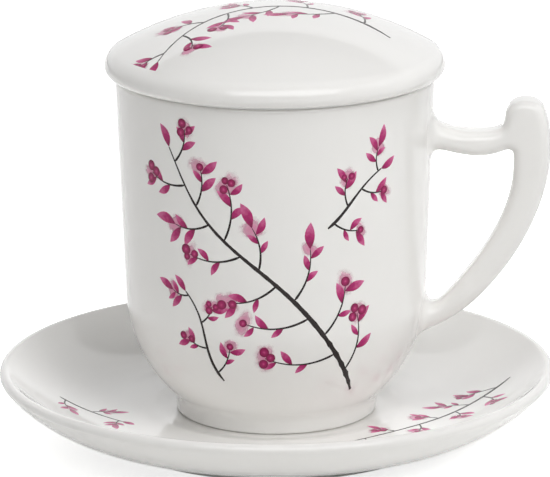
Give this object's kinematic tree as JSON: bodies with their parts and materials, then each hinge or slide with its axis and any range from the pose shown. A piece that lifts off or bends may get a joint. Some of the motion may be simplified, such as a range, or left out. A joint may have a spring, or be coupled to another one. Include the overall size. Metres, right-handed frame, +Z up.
{
  "type": "lidded tea cup with saucer",
  "caption": "Tall handled tea cup of white china on a dished saucer, with a loose domed lid and a lift-out steel strainer for brewing leaf tea.",
  "frame": {"origin": "on the common axis of saucer, cup and lid, on the surface that the saucer stands on", "axes": "+Z up along the common axis, +X towards the cup's handle, +Y to the left when looking along the handle from the cup"},
  "size_m": [0.148, 0.148, 0.1165],
  "materials": {
    "china": "clear gloss glaze over white bone china",
    "strainer_steel": "satin stainless sheet"
  },
  "bodies": {
    "saucer": {"saucer": "china"},
    "cup": {"cup_body": "china", "cup_handle": "china"},
    "strainer": {"strainer_rim": "strainer_steel", "strainer_wall": "strainer_steel", "strainer_floor": "strainer_steel"},
    "lid": {"lid": "china"}
  },
  "joints": [
    {"name": "cup_lift", "type": "slide", "parent": "saucer", "child": "cup", "axis": [0, 0, 1], "range_m": [0, 0.05]},
    {"name": "strainer_lift", "type": "slide", "parent": "cup", "child": "strainer", "axis": [0, 0, 1], "range_m": [0, 0.075]},
    {"name": "lid_lift", "type": "slide", "parent": "strainer", "child": "lid", "axis": [0, 0, 1], "range_m": [0, 0.045]}
  ]
}
